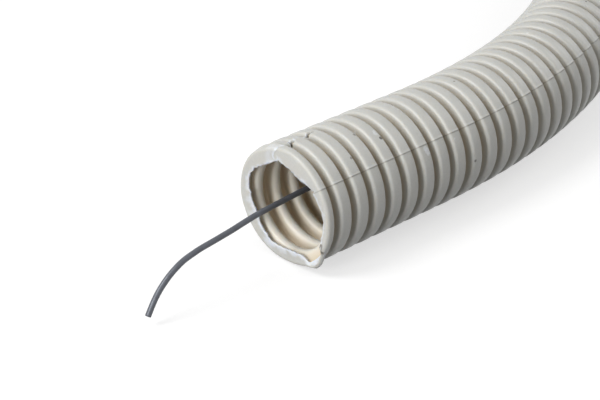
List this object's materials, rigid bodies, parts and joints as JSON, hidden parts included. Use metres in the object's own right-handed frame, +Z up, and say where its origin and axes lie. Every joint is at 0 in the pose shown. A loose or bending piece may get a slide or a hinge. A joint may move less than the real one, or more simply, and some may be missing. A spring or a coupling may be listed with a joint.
{
  "type": "corrugated conduit",
  "caption": "Flexible corrugated plastic conduit, torn open at one end, lying in a gentle bend with a steel draw wire running through it.",
  "frame": {"origin": "on the conduit's axis, in the middle of the first crest at the torn mouth, 12.5 mm above the floor it lies on", "axes": "+X along the far run towards its clean cut, +Z up, +Y to the left; the near run leaves the mouth 30 degrees to the right of +X"},
  "size_m": [1.0323, 0.0699, 0.025],
  "materials": {
    "pvc": "matte, pale warm grey",
    "wire": "dull dark grey steel"
  },
  "bodies": {
    "root": {"conduit": "pvc", "draw_wire": "wire"}
  },
  "joints": []
}
